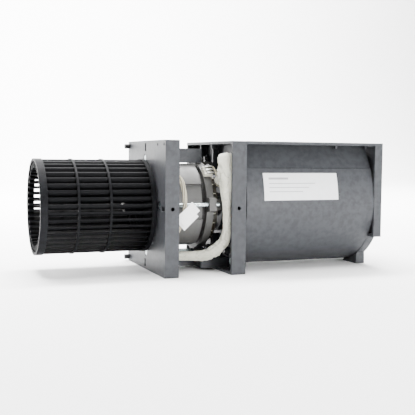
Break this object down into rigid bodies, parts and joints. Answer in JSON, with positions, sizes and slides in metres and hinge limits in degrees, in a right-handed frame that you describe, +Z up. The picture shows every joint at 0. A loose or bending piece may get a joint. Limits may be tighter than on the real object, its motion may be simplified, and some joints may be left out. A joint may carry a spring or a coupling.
{
  "type": "double ended ventilation blower",
  "caption": "Double-ended centrifugal blower: motor between square trays, a bare drum wheel at one end and a wheel in a scroll casing with a back outlet at the other.",
  "frame": {"origin": "centre of the bottom of the bounding box, below the middle of the shaft line", "axes": "+X along the shaft from the bare wheel to the cased wheel, +Y to the back, where the casing blows out, +Z up"},
  "size_m": [0.377, 0.14, 0.14],
  "materials": {
    "grey_plastic": "moulded glass-filled plastic, satin",
    "casing_plastic": "moulded plastic, satin",
    "wheel_plastic": "moulded plastic, low sheen",
    "black_plastic": "moulded",
    "white_plastic": "moulded",
    "cast_aluminium": "die-cast, grained",
    "zinc": "zinc plated",
    "black_steel": "black oxide",
    "shaft_steel": "ground",
    "spring_steel": "rolled",
    "lamination": "stacked sheet, oiled",
    "copper": "enamelled copper wire",
    "bronze": "sintered, oiled",
    "felt": "oiled felt",
    "sleeve": "varnished fibre sleeving, creased",
    "wire": "insulated leads",
    "paper_tag": "paper",
    "label": "coated paper, blank"
  },
  "bodies": {
    "stator": {"left_tray": "grey_plastic", "locating_pegs": "black_plastic", "right_tray": "grey_plastic", "arm_screw": "zinc", "earth_screw": "zinc", "shield_left": "cast_aluminium", "shield_right": "cast_aluminium", "through_bolts": "zinc", "stator_core": "lamination", "stator_winding": "copper", "bearing_left": "bronze", "bearing_right": "bronze", "felt_left": "felt", "felt_right": "felt", "retainer_left": "spring_steel", "retainer_right": "spring_steel", "thermal_protector": "black_plastic", "lead_exit_block": "white_plastic", "coil_leads": "copper", "lead_sleeve": "sleeve", "lead_wires": "wire", "lead_connector": "white_plastic", "flag_tag": "paper_tag", "casing_lower": "casing_plastic", "casing_upper": "casing_plastic", "inlet_cap": "casing_plastic", "casing_screws_left": "black_steel", "casing_screws_right": "black_steel", "rating_label": "label"},
    "rotor": {"shaft": "shaft_steel", "rotor_core": "lamination", "rotor_cage": "cast_aluminium", "thrust_washer_left": "white_plastic", "thrust_washer_right": "white_plastic", "wheel_left": "wheel_plastic", "wheel_right": "wheel_plastic", "hub_insert_left": "cast_aluminium", "hub_insert_right": "cast_aluminium", "set_screw_left": "zinc", "set_screw_right": "zinc"}
  },
  "joints": [
    {"name": "rotor_spin", "type": "hinge", "parent": "stator", "child": "rotor", "pos_m": [0, 0, 0.07], "axis": [1, 0, 0], "continuous": true}
  ]
}
